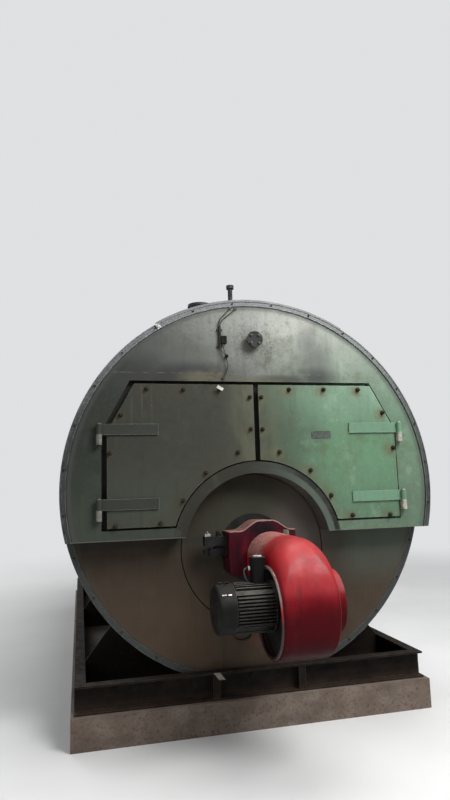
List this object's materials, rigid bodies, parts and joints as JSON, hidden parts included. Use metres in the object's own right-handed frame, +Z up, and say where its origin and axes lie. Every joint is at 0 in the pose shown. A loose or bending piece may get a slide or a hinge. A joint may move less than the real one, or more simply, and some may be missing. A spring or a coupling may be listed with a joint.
{
  "type": "fire-tube industrial boiler with burner",
  "caption": "Horizontal fire-tube steam boiler on a skid and plinth, with hinged smokebox doors at the front and a red side-motor burner.",
  "frame": {"origin": "middle of the plinth's underside", "axes": "+Z up, +Y from the burner end to the back, +X to the right seen from the burner end"},
  "size_m": [2.4, 5.472, 3.138],
  "materials": {
    "concrete": "rough",
    "dark_steel": "satin",
    "grey_paint": "satin",
    "rim_paint": "satin",
    "sage_paint": "satin",
    "sooty_steel": "matte",
    "dusty_paint": "satin",
    "hinge_paint": "satin",
    "bare_metal": "brushed",
    "cable_sheath": "matte",
    "black_paint": "satin",
    "burner_red": "gloss",
    "motor_black": "satin"
  },
  "bodies": {
    "root": {"plinth": "concrete", "left_skid": "dark_steel", "right_skid": "dark_steel", "front_crossbeam": "dark_steel", "rear_crossbeam": "dark_steel", "saddles": "dark_steel", "boiler_shell": "grey_paint", "cladding": "grey_paint", "top_cladding_strip": "grey_paint", "front_ring": "rim_paint", "front_plate": "sage_paint", "smokebox_wall": "sage_paint", "door_frame": "dark_steel", "tube_plate": "sooty_steel", "fire_tubes": "sooty_steel", "lower_front_plate": "dusty_paint", "furnace_disc": "dusty_paint", "left_hinges": "hinge_paint", "right_hinges": "hinge_paint", "front_stub": "dark_steel", "sensor_conduit": "bare_metal", "sensor_box": "dark_steel", "sensor_lead": "cable_sheath", "steam_outlet": "dark_steel", "vent_pipe": "dark_steel", "lifting_lugs": "rim_paint", "rear_plate": "sage_paint", "rear_hatch": "sage_paint", "flue_outlet": "dark_steel", "burner_flange": "black_paint", "burner_head": "burner_red", "burner_hinge": "black_paint", "fan_scroll": "burner_red", "fan_inlet": "burner_red", "motor_plate": "motor_black", "motor_body": "motor_black", "motor_cowl": "motor_black", "motor_foot": "motor_black", "terminal_box": "motor_black"},
    "left_door": {"left_door": "sage_paint", "left_door_straps": "sage_paint"},
    "right_door": {"right_door": "sage_paint", "right_door_straps": "sage_paint"}
  },
  "joints": [
    {"name": "left_door_hinge", "type": "hinge", "parent": "root", "child": "left_door", "pos_m": [-0.975, -2.33, 1.443], "axis": [0, 0, -1], "range_deg": [0, 110]},
    {"name": "right_door_hinge", "type": "hinge", "parent": "root", "child": "right_door", "pos_m": [0.985, -2.33, 1.443], "axis": [0, 0, 1], "range_deg": [0, 110]}
  ]
}
